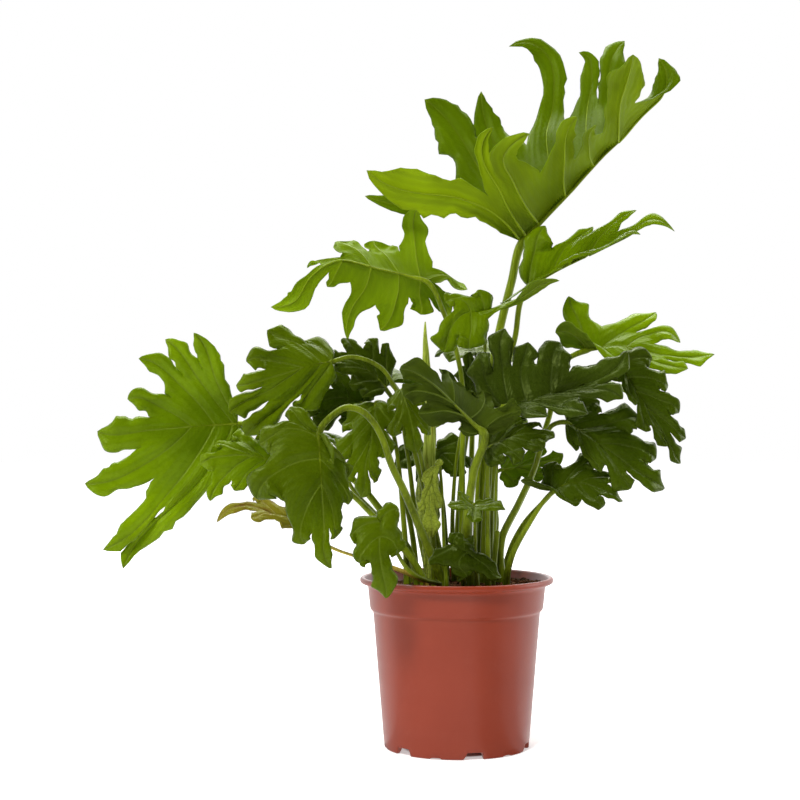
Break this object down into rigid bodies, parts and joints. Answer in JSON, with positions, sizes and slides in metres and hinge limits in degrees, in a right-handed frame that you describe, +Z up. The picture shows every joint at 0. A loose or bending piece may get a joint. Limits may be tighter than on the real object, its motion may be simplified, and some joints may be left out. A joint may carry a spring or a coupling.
{
  "type": "potted plant",
  "caption": "Lacy tree philodendron with long-stalked, deeply lobed, wavy-edged leaves arching out of a tapered terracotta-coloured nursery pot.",
  "frame": {"origin": "centre of the pot's flat foot, on the surface it stands on", "axes": "+Z up along the pot's axis, -Y towards the viewer of the fullest side, +X to that viewer's right"},
  "size_m": [0.6872, 0.3757, 0.7836],
  "materials": {
    "leaf_green": "glossy upper face, matt underside",
    "leaf_bright": "glossy young leaf",
    "leaf_dark": "glossy old leaf, bluish sheen",
    "leaf_old": "matt, dying leaf",
    "stem_green": "satin",
    "pot_plastic": "satin terracotta-coloured plastic",
    "peat": "crumbly, matt"
  },
  "bodies": {
    "root": {"leaf_01_crown": "leaf_bright", "leaf_02_upper_right": "leaf_green", "leaf_03_upper_left": "leaf_bright", "leaf_04_far_left": "leaf_green", "leaf_05_left": "leaf_green", "leaf_06_left": "leaf_green", "leaf_07_mid_left": "leaf_green", "leaf_08_front_left": "leaf_green", "leaf_09_low_left": "leaf_green", "leaf_10_old": "leaf_old", "leaf_11_front": "leaf_green", "leaf_12_front_centre": "leaf_green", "leaf_13_dark": "leaf_dark", "leaf_14_right": "leaf_green", "leaf_15_right_drooping": "leaf_green", "leaf_16_right_low": "leaf_dark", "leaf_17_low_right": "leaf_green", "leaf_18_mid_right": "leaf_green", "leaf_19_low_centre": "leaf_green", "leaf_20_glossy": "leaf_green", "leaf_21_pale": "leaf_green", "leaf_22_star": "leaf_green", "leaf_23_behind_stem": "leaf_green", "leaf_24_curly": "leaf_green", "leaf_25_hanging": "leaf_green", "leaf_26_centre_left": "leaf_green", "leaf_27_back": "leaf_green", "leaf_28_back_left": "leaf_green", "leaf_29_back_right": "leaf_green", "leaf_30_back_upper": "leaf_green", "leaf_31_back_low_left": "leaf_green", "leaf_32_back_low_right": "leaf_green", "leaf_33_papery": "leaf_bright", "crown_stem": "stem_green", "cut_stub": "stem_green", "pot": "pot_plastic", "soil": "peat"}
  },
  "joints": []
}
